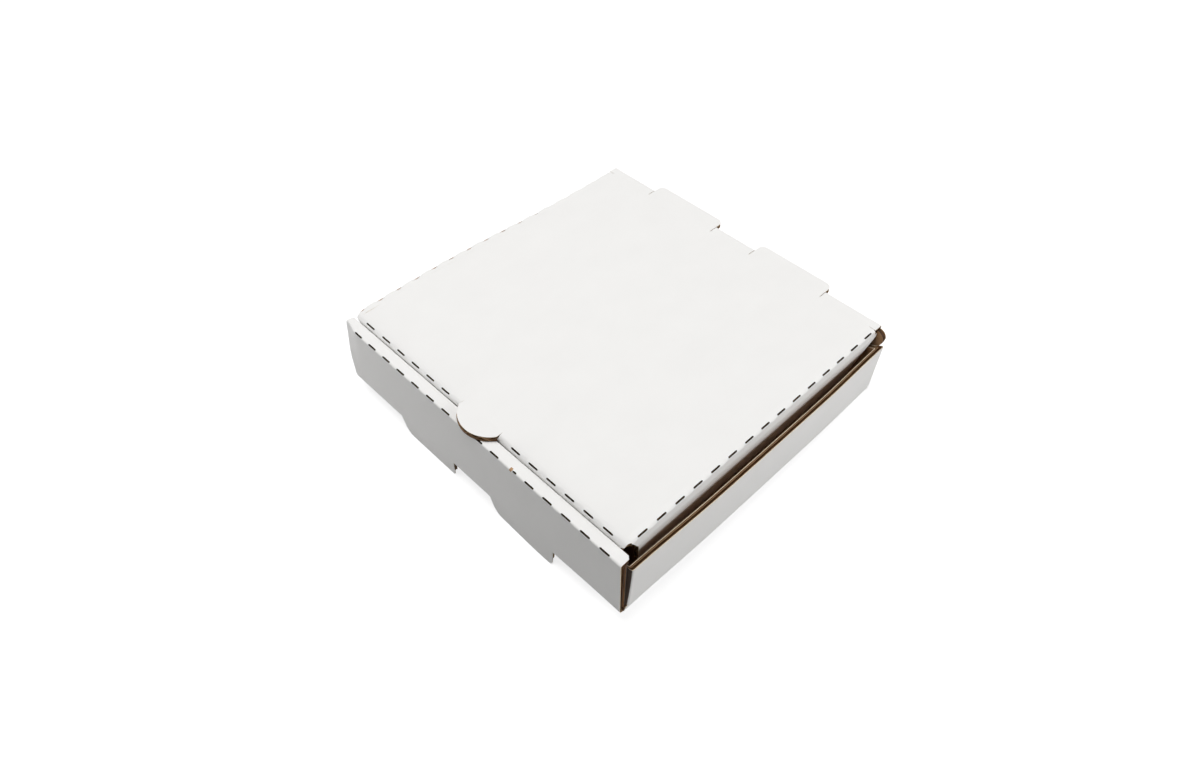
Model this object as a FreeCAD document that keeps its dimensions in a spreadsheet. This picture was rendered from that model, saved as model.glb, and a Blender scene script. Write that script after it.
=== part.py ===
import FreeCAD, Part
import Sketcher
import os

# Folding pizza box, one die-cut sheet of corrugated board, closed.
# The tray holds the bottom, the side walls, the rolled double front wall and the back wall.
# The lid holds the top panel with its thumb tab, rear tabs and tucked flaps.
# Both bodies are drawn with x across the middle, y = 0 on the outer face of the front wall
# and z = 0 under the bottom panel. Their Placement then puts the origin under the middle of
# the whole box, at the height of the front feet.

# Driving dimensions in millimetres and degrees
SIZES = [
    ("board", 2.9),
    ("box_width", 218.6),
    ("box_depth", 209.4),
    ("side_rise", 33.0),
    ("front_rise", 41.2),
    ("lid_rise", 44.3),
    ("layer_gap", 0.1),
    ("end_gap", 0.4),
    ("hinge_gap", 0.3),
    ("lock_gap", 0.5),
    ("fold_radius", 2.0),
    ("front_tab_reach", 35.0),
    ("front_tab_taper", 5.0),
    ("back_tab_reach", 33.0),
    ("back_tab_lean", 11.0),
    ("shoulder_radius", 3.0),
    ("pair_offset", 40.5),
    ("pair_width", 50.8),
    ("foot_drop", 9.0),
    ("foot_radius", 5.0),
    ("rear_tab_reach", 4.5),
    ("rear_tab_radius", 4.0),
    ("side_gap", 3.0),
    ("thumb_radius", 17.4),
    ("thumb_setback", 0.8),
    ("front_flap_setback", 5.4),
    ("front_flap_drop", 26.0),
    ("front_flap_lean", 9.0),
    ("front_flap_radius", 8.0),
    ("flap_gap", 0.3),
    ("side_flap_drop", 27.0),
    ("side_flap_start", 4.0),
    ("side_flap_taper", 9.0),
    ("side_flap_clearance", 4.0),
    ("corner_notch", 1.6),
    ("cut_length", 6.35),
    ("cut_pitch", 12.7),
    ("cut_width", 0.9),
    ("cut_margin", 8.0),
    ("thumb_cut_offset", 27.3),
    ("side_cut_start", 11.3),
    ("flute_inset", 1.5),
    ("flute_width", 1.0),
    ("flute_depth", 5.0),
    ("flute_end_margin", 6.0),
]

# Places worked out from the driving dimensions, as formulas of the sheet
HALF_BOX = "size.box_width / 2"
HALF_FRONT = "(size.box_width / 2 - size.board - size.end_gap)"
HALF_LID = "(size.box_width / 2 - size.board - size.side_gap)"
LAYER = "(size.board + size.layer_gap)"
INNER_START = "(2 * size.board + 2 * size.layer_gap)"
INNER_END = "(3 * size.board + 2 * size.layer_gap)"
LID_FRONT = "(3 * size.board + 2 * size.layer_gap + size.flap_gap)"
LID_UNDER = "(size.lid_rise - size.board)"
HINGE_Y = "(size.box_depth - size.board / 2)"
HINGE_Z = "(size.lid_rise - size.board / 2)"
BACK_RISE = "(size.lid_rise - size.board - size.hinge_gap)"
SIDE_END = "(size.box_depth - size.board - size.layer_gap)"
TAB_SWING = "sqrt((size.rear_tab_reach + size.board / 2) ^ 2 + (size.board / 2) ^ 2)"

# Which way each origin plane faces along its own axis
FACING = {"XY_Plane": 1, "XZ_Plane": -1, "YZ_Plane": 1}
CLOSE = 0.01

doc = FreeCAD.newDocument("pizza_box")
sheet = doc.addObject("Spreadsheet::Sheet", "size")
for row, (name, value) in enumerate(SIZES, start=1):
    sheet.set(f"A{row}", name)
    sheet.set(f"B{row}", str(value))
    sheet.setAlias(f"B{row}", name)
doc.recompute()


def value_of(formula):
    """The number that a formula of the sheet gives now."""
    return float(sheet.evalExpression(formula))


def new_sketch(body, name, plane, start):
    """A sketch on one of the body's origin planes, moved along the plane's axis to start."""
    sketch = body.newObject("Sketcher::SketchObject", name)
    origin_plane = next(item for item in body.Origin.OriginFeatures if item.Role == plane)
    sketch.AttachmentSupport = (origin_plane, "")
    sketch.MapMode = "FlatFace"
    sketch.setExpression("AttachmentOffset.Base.z", f"{FACING[plane]} * ({start})")
    return sketch


def place_point(sketch, geometry, point, formulas):
    """Hold one point of a sketch at two formulas, measured from the sketch's origin."""
    for kind, formula in zip(("DistanceX", "DistanceY"), formulas):
        value = value_of(formula)
        index = sketch.addConstraint(Sketcher.Constraint(kind, -1, 1, geometry, point, value))
        sketch.setExpression(f"Constraints[{index}]", formula)


def draw_loop(sketch, corners):
    """Add a closed outline of straight lines whose corners are pairs of formulas."""
    points = [FreeCAD.Vector(value_of(x), value_of(y), 0) for x, y in corners]
    ends = points[1:] + points[:1]
    lines = [sketch.addGeometry(Part.LineSegment(a, b)) for a, b in zip(points, ends)]
    followers = lines[1:] + lines[:1]
    for line, follower in zip(lines, followers):
        sketch.addConstraint(Sketcher.Constraint("Coincident", line, 2, follower, 1))
    for line, formulas in zip(lines, corners):
        place_point(sketch, line, 1, formulas)


def draw_circle(sketch, centre, radius):
    """Add a circle whose centre and radius are formulas."""
    middle = FreeCAD.Vector(value_of(centre[0]), value_of(centre[1]), 0)
    shape = Part.Circle(middle, FreeCAD.Vector(0, 0, 1), value_of(radius))
    circle = sketch.addGeometry(shape)
    place_point(sketch, circle, 3, centre)
    index = sketch.addConstraint(Sketcher.Constraint("Radius", circle, value_of(radius)))
    sketch.setExpression(f"Constraints[{index}]", radius)


def rectangle(left, right, low, high):
    """The four corners of an upright rectangle."""
    return [(left, low), (right, low), (right, high), (left, high)]


def pair(middle, width, low, high):
    """Two rectangles of one width, at the same distance left and right of the middle."""
    reach = f"({width}) / 2"
    right = rectangle(f"{middle} - {reach}", f"{middle} + {reach}", low, high)
    left = rectangle(f"-({middle}) - {reach}", f"-({middle}) + {reach}", low, high)
    return [left, right]


def finish_feature(body, feature, length, volume_grows):
    """Set a feature's length, compute it and see that it changed the solid the right way."""
    before = body.Tip.Shape.Volume if body.Tip and body.Tip != feature else 0
    feature.setExpression("Length", length)
    body.Tip = feature
    doc.recompute()
    change = feature.Shape.Volume - before
    if (change > 0) != volume_grows:
        raise RuntimeError(f"{feature.Name} changed the volume by {change:.3f}")
    return feature


def add(body, name, plane, start, length, loops):
    """Pad outlines from start along the plane's axis."""
    sketch = new_sketch(body, f"{name}_outline", plane, start)
    for corners in loops:
        draw_loop(sketch, corners)
    tip = body.Tip
    pad = body.newObject("PartDesign::Pad", name)
    body.Tip = tip
    pad.Profile = sketch
    pad.Reversed = FACING[plane] < 0
    return finish_feature(body, pad, length, True)


def add_disc(body, name, plane, start, length, centre, radius):
    """Pad a round outline from start along the plane's axis."""
    sketch = new_sketch(body, f"{name}_outline", plane, start)
    draw_circle(sketch, centre, radius)
    tip = body.Tip
    pad = body.newObject("PartDesign::Pad", name)
    body.Tip = tip
    pad.Profile = sketch
    pad.Reversed = FACING[plane] < 0
    return finish_feature(body, pad, length, True)


def cut(body, name, plane, start, length, loops):
    """Pocket outlines from start along the plane's axis."""
    sketch = new_sketch(body, f"{name}_outline", plane, start)
    for corners in loops:
        draw_loop(sketch, corners)
    tip = body.Tip
    pocket = body.newObject("PartDesign::Pocket", name)
    body.Tip = tip
    pocket.Profile = sketch
    pocket.Reversed = FACING[plane] > 0
    return finish_feature(body, pocket, length, False)


def repeat(body, name, original, sketch_axis, count, pitch):
    """Repeat a pocket along an axis of its own sketch."""
    before = body.Tip.Shape.Volume
    pattern = body.newObject("PartDesign::LinearPattern", name)
    pattern.Originals = [original]
    pattern.Direction = (original.Profile[0], [sketch_axis])
    pattern.setExpression("Occurrences", count)
    pattern.setExpression("Length", f"({count} - 1) * {pitch}")
    body.Tip = pattern
    doc.recompute()
    if pattern.Shape.Volume >= before:
        raise RuntimeError(f"{name} cuts nothing")
    return pattern


def edges_at(shape, **place):
    """Names of the edges whose ends all lie at the given x, y or z."""
    names = []
    for number, edge in enumerate(shape.Edges, start=1):
        ends = [vertex.Point for vertex in edge.Vertexes]
        offsets = [abs(getattr(end, axis) - value) for end in ends for axis, value in place.items()]
        if offsets and max(offsets) < CLOSE:
            names.append(f"Edge{number}")
    return names


def round_edges(body, name, radius, places):
    """Fillet the edges that lie at any of the given places."""
    base = body.Tip
    names = [edge for place in places for edge in edges_at(base.Shape, **place)]
    fillet = body.newObject("PartDesign::Fillet", name)
    fillet.Base = (base, names)
    fillet.setExpression("Radius", radius)
    body.Tip = fillet
    doc.recompute()
    return fillet


def both_sides(**place):
    """One place and its mirror image across the middle of the box."""
    mirrored = dict(place)
    mirrored["x"] = -place["x"]
    return [place, mirrored]


def new_body(name):
    """A body whose origin is moved under the middle of the whole closed box."""
    body = doc.addObject("PartDesign::Body", name)
    body.Label = name
    body.setExpression("Placement.Base.y", "-(size.box_depth + size.rear_tab_reach) / 2")
    body.setExpression("Placement.Base.z", "size.foot_drop")
    return body


def bottom_and_sides(body):
    """Bottom panel and both side walls, bent up from it."""
    inner = f"({HALF_BOX} - size.board)"
    section = [
        (f"-{HALF_BOX}", "0"),
        (HALF_BOX, "0"),
        (HALF_BOX, "size.side_rise"),
        (inner, "size.side_rise"),
        (inner, "size.board"),
        (f"-{inner}", "size.board"),
        (f"-{inner}", "size.side_rise"),
        (f"-{HALF_BOX}", "size.side_rise"),
    ]
    add(body, "bottom_and_sides", "XZ_Plane", LAYER, f"{SIDE_END} - {LAYER}", [section])
    half = value_of(HALF_BOX)
    round_edges(body, "side_folds", "size.fold_radius", both_sides(x=half, z=0))


def front_corner_tabs(body):
    """Tabs folded in from the side walls, held between the layers of the front wall."""
    low = LAYER
    tip = f"({HALF_BOX} - size.front_tab_reach)"
    tip_low = f"{LAYER} + size.front_tab_taper"
    tip_high = "size.side_rise - size.front_tab_taper"
    for side, sign in (("left", "-"), ("right", "")):
        tab = [
            (f"{sign}{HALF_BOX}", low),
            (f"{sign}{HALF_BOX}", "size.side_rise"),
            (f"{sign}{tip}", tip_high),
            (f"{sign}{tip}", tip_low),
        ]
        add(body, f"front_tab_{side}", "XZ_Plane", LAYER, "size.board", [tab])


def back_corner_tabs(body):
    """Tabs folded in from the side walls, leaning away from the back wall."""
    tip = f"({HALF_BOX} - size.back_tab_reach)"
    fall = "size.back_tab_reach * tan(size.back_tab_lean)"
    thickness = "size.board / cos(size.back_tab_lean)"
    for side, sign in (("left", "-"), ("right", "")):
        tab = [
            (f"{sign}{HALF_BOX}", SIDE_END),
            (f"{sign}{tip}", f"{SIDE_END} - {fall}"),
            (f"{sign}{tip}", f"{SIDE_END} - {fall} - {thickness}"),
            (f"{sign}{HALF_BOX}", f"{SIDE_END} - {thickness}"),
        ]
        height = f"size.side_rise - {LAYER}"
        add(body, f"back_tab_{side}", "XY_Plane", LAYER, height, [tab])
    half = value_of(HALF_BOX)
    corners = both_sides(x=half, y=value_of(LAYER)) + both_sides(x=half, y=value_of(SIDE_END))
    round_edges(body, "wall_corners", "size.fold_radius", corners)


def front_wall(body):
    """Double front wall: outer panel, narrow strip on top and inner panel rolled over."""
    under_strip = "size.front_rise - size.board"
    joint = f"{LAYER} + size.board"
    section = [
        ("0", "0"),
        (joint, "0"),
        (joint, "size.board"),
        ("size.board", "size.board"),
        ("size.board", under_strip),
        (INNER_START, under_strip),
        (INNER_START, LAYER),
        (INNER_END, LAYER),
        (INNER_END, "size.front_rise"),
        ("0", "size.front_rise"),
    ]
    add(body, "front_wall", "YZ_Plane", f"-{HALF_FRONT}", f"2 * {HALF_FRONT}", [section])
    top = value_of("size.front_rise")
    folds = [{"y": 0, "z": 0}, {"y": 0, "z": top}, {"y": value_of(INNER_END), "z": top}]
    round_edges(body, "front_folds", "size.fold_radius", folds)


def back_wall(body):
    """Single back wall with rounded shoulders beside the lid."""
    inside = "(size.box_depth - size.board)"
    section = [
        (f"{inside} - size.board", "0"),
        ("size.box_depth", "0"),
        ("size.box_depth", BACK_RISE),
        (inside, BACK_RISE),
        (inside, "size.board"),
        (f"{inside} - size.board", "size.board"),
    ]
    reach = f"({HALF_BOX} - size.end_gap)"
    add(body, "back_wall", "YZ_Plane", f"-{reach}", f"2 * {reach}", [section])
    depth = value_of("size.box_depth")
    round_edges(body, "back_fold", "size.fold_radius", [{"y": depth, "z": 0}])
    shoulders = both_sides(x=value_of(reach), z=value_of(BACK_RISE))
    round_edges(body, "back_shoulders", "size.shoulder_radius", shoulders)


def vent_slots(body):
    """Openings left in the back wall where the rear tabs were cut out."""
    floor = f"({HINGE_Z} - {TAB_SWING} - size.hinge_gap)"
    width = "size.pair_width + 2 * size.hinge_gap"
    loops = pair("size.pair_offset", width, floor, "size.lid_rise")
    cut(body, "vent_slots", "XZ_Plane", "size.box_depth - 2 * size.board", "3 * size.board", loops)


def feet(body):
    """Two feet in line with the front panel, cut from the bottom panel behind them."""
    start = "size.board"
    slots = pair("size.pair_offset", "size.pair_width", start, f"{start} + size.foot_drop")
    cut(body, "lock_slots", "XY_Plane", "-size.board", "3 * size.board", slots)
    loops = pair("size.pair_offset", "size.pair_width", "-size.foot_drop", "2 * size.board")
    add(body, "feet", "XZ_Plane", "0", "size.board", loops)
    low = -value_of("size.foot_drop")
    middle = value_of("size.pair_offset")
    reach = value_of("size.pair_width / 2")
    corners = both_sides(x=middle - reach, z=low) + both_sides(x=middle + reach, z=low)
    round_edges(body, "foot_corners", "size.foot_radius", corners)


def lock_tabs(body):
    """Tabs of the inner front panel that stand in the slots of the bottom panel."""
    width = "size.pair_width - 2 * size.lock_gap"
    loops = pair("size.pair_offset", width, "size.layer_gap", "2 * size.board")
    add(body, "lock_tabs", "XZ_Plane", INNER_START, "size.board", loops)


def front_cuts(body):
    """Row of cuts along the outer top fold of the front wall."""
    half_row = f"floor(({HALF_FRONT} - size.cut_margin) / size.cut_pitch)"
    first = f"-({half_row} - 0.5) * size.cut_pitch"
    low = "size.fold_radius - size.cut_width / 2"
    high = "size.fold_radius + size.cut_width / 2"
    reach = "size.cut_length / 2"
    loop = rectangle(f"{first} - {reach}", f"{first} + {reach}", low, high)
    start = "size.front_rise - size.board"
    slot = cut(body, "front_cut", "XY_Plane", start, "2 * size.board", [loop])
    repeat(body, "front_cuts", slot, "H_Axis", f"2 * {half_row}", "size.cut_pitch")


def side_flutes(body):
    """Open flute left along the raw top edge of each side wall."""
    middle = f"({HALF_BOX} - size.board + size.flute_inset + size.flute_width / 2)"
    low = f"{INNER_END} + size.flute_end_margin"
    high = f"{SIDE_END} - size.flute_end_margin"
    loops = pair(middle, "size.flute_width", low, high)
    start = "size.side_rise - size.flute_depth"
    cut(body, "side_flutes", "XY_Plane", start, "2 * size.flute_depth", loops)


def make_tray():
    """The lower part of the box."""
    body = new_body("tray")
    bottom_and_sides(body)
    front_corner_tabs(body)
    back_corner_tabs(body)
    front_wall(body)
    back_wall(body)
    vent_slots(body)
    feet(body)
    lock_tabs(body)
    front_cuts(body)
    side_flutes(body)
    return body


def lid_panel(body):
    """Top panel with clipped front corners and folds rounded at the front and sides."""
    panel = [
        (f"-{HALF_LID} + size.corner_notch", LID_FRONT),
        (f"{HALF_LID} - size.corner_notch", LID_FRONT),
        (HALF_LID, f"{LID_FRONT} + size.side_flap_start"),
        (HALF_LID, HINGE_Y),
        (f"-{HALF_LID}", HINGE_Y),
        (f"-{HALF_LID}", f"{LID_FRONT} + size.side_flap_start"),
    ]
    add(body, "lid_panel", "XY_Plane", LID_UNDER, "size.board", [panel])


def side_flaps(body):
    """Flaps folded down from the sides of the lid, inside the side walls."""
    start = f"({LID_FRONT} + size.side_flap_start)"
    end = f"({SIDE_END} - size.fold_radius + size.layer_gap)"
    low = f"({LID_UNDER} - size.side_flap_drop)"
    tab_front = f"({SIDE_END} - size.board - size.back_tab_reach * tan(size.back_tab_lean) / 4)"
    rear = f"({tab_front} - size.side_flap_clearance)"
    flap = [
        (start, HINGE_Z),
        (f"{start} + size.side_flap_taper", low),
        (f"{rear} - size.side_flap_taper", low),
        (rear, "size.side_rise"),
        (end, LID_UNDER),
        (end, HINGE_Z),
    ]
    left = f"-{HALF_LID}"
    right = f"{HALF_LID} - size.board"
    for side, inner in (("left", left), ("right", right)):
        add(body, f"side_flap_{side}", "YZ_Plane", inner, "size.board", [flap])
    half = value_of(HALF_LID)
    top = value_of("size.lid_rise")
    round_edges(body, "lid_side_folds", "size.fold_radius", both_sides(x=half, z=top))


def front_flap(body):
    """Flap folded down from the front of the lid, leaning in so that the lid can swing."""
    lean_in = "size.front_flap_drop * tan(size.front_flap_lean)"
    thickness = "size.board / cos(size.front_flap_lean)"
    low = f"{LID_UNDER} - size.front_flap_drop"
    flap = [
        (LID_FRONT, HINGE_Z),
        (LID_FRONT, LID_UNDER),
        (f"{LID_FRONT} + {lean_in}", low),
        (f"{LID_FRONT} + {lean_in} + {thickness}", low),
        (f"{LID_FRONT} + {thickness}", LID_UNDER),
        (f"{LID_FRONT} + {thickness}", HINGE_Z),
    ]
    half = f"({HALF_LID} - size.front_flap_setback)"
    add(body, "front_flap", "YZ_Plane", f"-{half}", f"2 * {half}", [flap])
    corners = both_sides(x=value_of(half), z=value_of(low))
    round_edges(body, "front_flap_corners", "size.front_flap_radius", corners)
    fold = [{"y": value_of(LID_FRONT), "z": value_of("size.lid_rise")}]
    round_edges(body, "lid_front_fold", "size.fold_radius", fold)


def rear_edge(body):
    """Round rear end of the lid on the hinge line, and the two rear tabs."""
    nose_centre = (HINGE_Y, HINGE_Z)
    width = f"2 * {HALF_LID}"
    add_disc(body, "rear_nose", "YZ_Plane", f"-{HALF_LID}", width, nose_centre, "size.board / 2")
    tip = "size.box_depth + size.rear_tab_reach"
    loops = pair("size.pair_offset", "size.pair_width", f"{HINGE_Y} - size.board", tip)
    add(body, "rear_tabs", "XY_Plane", LID_UNDER, "size.board", loops)
    middle = value_of("size.pair_offset")
    reach = value_of("size.pair_width / 2")
    end = value_of(tip)
    corners = both_sides(x=middle - reach, y=end) + both_sides(x=middle + reach, y=end)
    round_edges(body, "rear_tab_corners", "size.rear_tab_radius", corners)


def thumb_tab(body):
    """Half-round tab in the plane of the lid, lying over the front strip."""
    centre = ("0", "size.thumb_setback + size.thumb_radius")
    add_disc(body, "thumb_tab", "XY_Plane", LID_UNDER, "size.board", centre, "size.thumb_radius")


def lid_cuts(body):
    """Rows of cuts along the front fold and both side folds of the lid."""
    depth = "2 * size.board"
    reach = "size.cut_length / 2"
    count = f"(floor(({HALF_LID} - size.cut_margin - size.thumb_cut_offset) / size.cut_pitch) + 1)"
    first = "size.thumb_cut_offset"
    last = f"-(size.thumb_cut_offset + ({count} - 1) * size.cut_pitch)"
    low = f"{LID_FRONT} - size.cut_width"
    high = f"{LID_FRONT} + size.cut_width"
    loops = [rectangle(f"{x} - {reach}", f"{x} + {reach}", low, high) for x in (first, last)]
    slot = cut(body, "lid_front_cut", "XY_Plane", LID_UNDER, depth, loops)
    repeat(body, "lid_front_cuts", slot, "H_Axis", count, "size.cut_pitch")

    start = f"({LID_FRONT} + size.side_cut_start)"
    room = f"(size.box_depth - size.cut_margin - {start})"
    rows = f"(floor({room} / size.cut_pitch) + 1)"
    loops = pair(HALF_LID, "2 * size.cut_width", f"{start} - {reach}", f"{start} + {reach}")
    slot = cut(body, "lid_side_cut", "XY_Plane", LID_UNDER, depth, loops)
    repeat(body, "lid_side_cuts", slot, "V_Axis", rows, "size.cut_pitch")


def make_lid():
    """The upper part of the box, closed on the tray."""
    body = new_body("lid")
    lid_panel(body)
    side_flaps(body)
    front_flap(body)
    rear_edge(body)
    thumb_tab(body)
    lid_cuts(body)
    return body


bodies = [make_tray(), make_lid()]
doc.recompute()

for item in doc.Objects:
    if "Invalid" in item.State or "Error" in item.State:
        raise RuntimeError(f"{item.Name} could not be computed")
for body in bodies:
    if body.Shape.isNull() or not body.Shape.isValid() or len(body.Shape.Solids) != 1:
        raise RuntimeError(f"{body.Label} is not one valid solid")

os.makedirs("parts", exist_ok=True)
for body in bodies:
    body.Shape.exportStep(f"parts/{body.Label}.step")
    print(body.Label, round(body.Shape.Volume, 1), body.Shape.BoundBox)
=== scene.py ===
import math
import bmesh
import bpy
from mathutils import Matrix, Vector, geometry


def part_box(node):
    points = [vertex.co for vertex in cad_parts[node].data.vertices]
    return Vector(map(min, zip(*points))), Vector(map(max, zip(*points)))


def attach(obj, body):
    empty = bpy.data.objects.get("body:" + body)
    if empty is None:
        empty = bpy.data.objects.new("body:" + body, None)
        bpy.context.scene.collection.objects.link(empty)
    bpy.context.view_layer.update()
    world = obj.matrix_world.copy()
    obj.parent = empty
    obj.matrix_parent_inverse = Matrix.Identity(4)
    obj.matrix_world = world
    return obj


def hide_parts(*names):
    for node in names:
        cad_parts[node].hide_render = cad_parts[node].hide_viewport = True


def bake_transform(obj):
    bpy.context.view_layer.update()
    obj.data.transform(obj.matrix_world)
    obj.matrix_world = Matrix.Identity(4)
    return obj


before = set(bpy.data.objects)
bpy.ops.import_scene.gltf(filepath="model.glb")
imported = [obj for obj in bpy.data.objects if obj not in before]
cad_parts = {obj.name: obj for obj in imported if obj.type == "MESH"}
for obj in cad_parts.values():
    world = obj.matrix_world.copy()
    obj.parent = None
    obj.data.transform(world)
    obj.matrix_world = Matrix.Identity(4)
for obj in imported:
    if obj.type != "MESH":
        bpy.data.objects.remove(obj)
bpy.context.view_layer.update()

MM = 0.001

# Sizes of the box in millimetres, read from the frame or given.
# Until place() moves it into the frame, the box is drawn with x across the middle,
# y = 0 on the outer face of the front wall and z = 0 under the bottom panel.
TRAY_LOW, TRAY_HIGH = [Vector(corner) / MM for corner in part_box("tray")]
LID_LOW, LID_HIGH = [Vector(corner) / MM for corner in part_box("lid")]
FOOT_DROP = 9.0
HALF_BOX = TRAY_HIGH.x
BOX_DEPTH = TRAY_HIGH.y - TRAY_LOW.y
HALF_LID = LID_HIGH.x
LID_RISE = LID_HIGH.z - FOOT_DROP
FRONT_RISE = TRAY_HIGH.z - FOOT_DROP
SIDE_RISE = 33.0
BACK_RISE = 43.0
REAR_TAB_PAST_LID = 3.3
REAR_TAB_END = LID_HIGH.y - TRAY_LOW.y + REAR_TAB_PAST_LID
THUMB_TIP = LID_LOW.y - TRAY_LOW.y

# The board: two liners glued to a wavy medium whose flutes run from front to back
BOARD = 2.9
LINER = 0.36
MEDIUM = 0.22
FLUTES_TO_RIM = 22
CREST_BELOW_RIM = 1.2
FLUTE_PITCH = (HALF_BOX + SIDE_RISE - CREST_BELOW_RIM) / FLUTES_TO_RIM
FLUTE_HEIGHT = (BOARD - 2 * LINER - MEDIUM) / 2
LAYER_GAP = 0.1

# The folds
BEND = 4.0
SOFT_FOLD = 2.4
CRISP_FOLD = 0.8
INNER_FOLD = 0.3
INNER_FOLD_SHARE = 0.9
LOW_SIDE_FOLD = 1.6
REAR_CORNER_FOLD = 0.6
LID_FRONT_CUT_FOLD = 2.0
LID_FRONT_BRIDGE = 2.5
RIGHT_CUT_FOLD = 1.2
RIGHT_BRIDGE = 1.9
LEFT_CUT_FOLD = 0.6
REAR_LEFT_BRIDGE = 1.2
LEFT_BRIDGE = 3.9
LEFT_BRIDGE_FADES = (190.0, 120.0)

# Steps of the grids that the layers are drawn on, and how near is the same place on them
BEND_STEP = 0.5
COARSE_BEND_STEP = 0.8
LEG_STEP = 12.0
OUTER_STEP = 1.6
INNER_STEP = 6.0
ALONG_FLUTES_STEP = 30.0
STEPS_PER_FLUTE = 8
SAME_PLACE = 1e-4
SAME_SHARE = 0.001

# Edges that turn by more than this stay sharp
SHARP_ANGLE = math.radians(40)

# The cuts along the perforated folds, and how far from a cut's end its fold opens out.
# The torn cut has its centre and length, and the torn spot beside it its centre and radius.
CUT_LENGTH = 6.6
CUT_PITCH = 12.7
CUT_WIDTH = 1.0
CUT_BELOW_WIDTH = 2.0
RIM_MARGIN = 0.1
FOLD_OPENS = (-1.2, 2.4)
TORN_CUT = (35.3, 2.8)
TORN_SPOT = (32.6, 1.2)
FOOT_UNDERCUT = 1.6
THUMB_FLARE = 0.4
TAB_SLIT = 0.5

# Front wall, feet and lock tabs. The cuts of its upper fold are numbered from the middle, and the
# missing ones are under the thumb tab or torn.
CORNER_TAB_FACE = BOARD + LAYER_GAP
INNER_PANEL_FACE = 3 * BOARD + 2 * LAYER_GAP
PAIR_OFFSET = 40.5
PAIR_WIDTH = 50.8
LOCK_GAP = 0.5
LOCK_BEVEL = 1.0
FOOT_JOIN = BEND + 0.5
LEFT_FOOT = (-61.6, -15.4)
RIGHT_FOOT = (14.7, 62.4)
FOOT_SLANT = 4.3
FOOT_ROUND = 2.0
LEFT_STRIP_END_INNER = 107.4
STRIP_END_INNER = 106.2
STRIP_END_OUTER = 107.8
FRONT_CUTS_PER_SIDE = 8
FRONT_CUTS_MISSING = (-1, 0, 2)
FRONT_CUTS_ASIDE = 1.3
FRONT_CUT_SHIFT = 0.3
CUT_BY_TAB = 8.0
LEFT_END_OUT = 0.9
MAIN_FLUTE_SHIFT = 17.25 * FLUTE_PITCH - STRIP_END_OUTER

# Side walls and their corner tabs
SIDE_END = BOX_DEPTH - BOARD - LAYER_GAP
FRONT_TAB_REACH = 35.0
BACK_TAB_REACH = 33.0
BACK_TAB_LEAN = math.radians(11)
TAB_TAPER = 5.0
CORNER_RELIEF = 1.6
# How far past the right front fold the painted shade of the corner gap reaches
GAP_SHADE_REACH = 0.6

# Back wall and rear crease
HINGE_GAP = 0.3
SHOULDER_REACH = HALF_BOX - 0.9
BACK_WALL_REACH = 105.0
LEFT_SHOULDER_RISE = 39.5
SHOULDER_RADIUS = 5.0
VENT_FLOOR = 36.4
CREASE_DEPTH = 4.8
CREASE_BULGE = 1.4
CREASE_FOLD = 0.9
REAR_TAB_RADIUS = 4.0

# Lid flaps and thumb tab
LID_FRONT_GAP = 0.08
LID_FRONT = INNER_PANEL_FACE + LID_FRONT_GAP
FLAP_LEAN = math.radians(6)
FLAP_DROP = 26.0
FLAP_HALF = HALF_LID - 5.4
FLAP_RADIUS = 8.0
THUMB_RADIUS = 17.4
THUMB_CUT_OFFSET = 27.3
FRONT_CUT_COUNT = 6
SIDE_FLAP_DROP = 27.0
SIDE_FLAP_START = LID_FRONT + 4.0
SIDE_FLAP_END = 206.3
SIDE_FLAP_REAR = 200.0
SIDE_FLAP_TOP_END = 204.4
SIDE_FLAP_BULGE = 0.8
SIDE_FLAP_BULGE_DROP = 4.8
SIDE_FLAP_IN = 3.6
SIDE_FLAP_TAPER = 9.0
SIDE_CUT_START = 11.3
SIDE_CUT_COUNT = 15
RIGHT_CUT_SHIFT = 0.3
LEFT_CUT_SHIFT = -3.2
LID_CUT_SHIFT = 0.7

# The way the folded board settled: leans and bows, and the stretches over which they grow
FRONT_LEAN = 1.8
FRONT_FADE = (6.0, 30.0)
RIM_BOW = 1.3
LOW_BOW_SHARE = 0.7
BOW_GROWS = (8.0, 70.0)
BOW_FADES_FROM = 150.0
WALL_FROM = 60.0
LEFT_REAR_LEAN = 2.4
LEFT_LEAN_GROWS = (20.0, 150.0)
SIDE_SETBACK = 3.0
SETBACK_ACROSS = (101.0, 108.5)
SETBACK_FADE = (5.0, 30.0)
RIGHT_CORNER_BACK = 1.0
RIGHT_CORNER_GROWS = (30.0, 100.0)
LEFT_CORNER_CURL = 2.4
CURL_ACROSS = (95.0, 108.0)
CURL_FROM = 15.0
RIGHT_END_SWELL = 1.6
SWELL_FROM = 97.0
REAR_CORNER_LEAN = 2.2
REAR_LEAN_ACROSS = (104.8, 108.8)
REAR_LEAN_ALONG = (190.0, 206.0)
FOOT_LIP = 0.9
LIP_FROM = 5.5
LIP_ACROSS = (20.0, 60.0)
LID_FRONT_DIP = 1.1
DIP_REACH = 6.0
DIP_ACROSS = (16.0, 27.0)
LID_LEFT_OUT = 3.4
LEFT_OUT_FADES = (150.0, 60.0)
LID_LEFT_IN = 2.8
LEFT_IN_GROWS = (100.0, 200.0)
LID_SKEW_FROM = 70.0

# Light in the room around the lamps, and the floor's own light as the camera sees it
ROOM_LIGHT = 0.06
FLOOR_LIGHT = 0.8

# The camera, fitted to the rows of cuts: its place in the drawing, its angles and its lens
CAMERA_PLACE = (244.60, -152.20, 397.52)
CAMERA_AZIMUTH = math.radians(45.637)
CAMERA_ELEVATION = math.radians(48.775)
CAMERA_ROLL = math.radians(-0.035)
SENSOR_WIDTH = 36.0
LENS = 27.833


def place(x, y, z):
    """A point of the drawing, in metres in the frame."""
    return Vector((x, y + TRAY_LOW.y, z + FOOT_DROP)) * MM


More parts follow.
